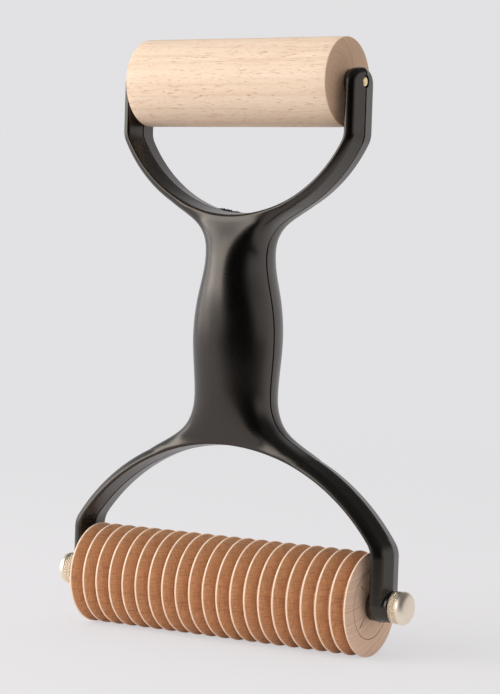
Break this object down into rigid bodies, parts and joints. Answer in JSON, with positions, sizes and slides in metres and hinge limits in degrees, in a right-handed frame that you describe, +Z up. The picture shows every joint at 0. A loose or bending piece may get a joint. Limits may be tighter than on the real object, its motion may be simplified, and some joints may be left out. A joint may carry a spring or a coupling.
{
  "type": "double-ended hand roller",
  "caption": "Double-ended hand roller: black die-cast handle with a fork at each end, one holding a plain wooden roller, the other a wider grooved wooden strip roller with knurled cap nuts.",
  "frame": {"origin": "in the middle of the palm grip, on the handle's centre line, midway between the two roller axes", "axes": "+X along the roller axes, to the right seen from the front; +Y from front to back; +Z up the handle from the grooved roller to the plain roller"},
  "size_m": [0.1522, 0.0378, 0.2224],
  "materials": {
    "casting": "matte black coated die casting",
    "plain_wood": "plain pale beech",
    "grooved_wood": "plain pale beech",
    "bright_steel": "bright",
    "nickel": "satin nickel plated"
  },
  "bodies": {
    "handle": {"handle_casting": "casting", "plain_roller_pin": "bright_steel", "cutter_axle": "bright_steel"},
    "plain_roller": {"plain_roller": "plain_wood"},
    "cutter_roller": {"cutter_roller": "grooved_wood"},
    "cap_nut_right": {"cap_nut_right": "nickel"},
    "cap_nut_left": {"cap_nut_left": "nickel"}
  },
  "joints": [
    {"name": "plain_roller_spin", "type": "hinge", "parent": "handle", "child": "plain_roller", "pos_m": [0, 0, 0.09362], "axis": [1, 0, 0], "continuous": true},
    {"name": "cutter_roller_spin", "type": "hinge", "parent": "handle", "child": "cutter_roller", "pos_m": [0, 0, -0.09362], "axis": [1, 0, 0], "continuous": true},
    {"name": "cap_nut_right_off", "type": "slide", "parent": "handle", "child": "cap_nut_right", "axis": [1, 0, 0], "range_m": [0, 0.006]},
    {"name": "cap_nut_left_off", "type": "slide", "parent": "handle", "child": "cap_nut_left", "axis": [-1, 0, 0], "range_m": [0, 0.006]}
  ]
}
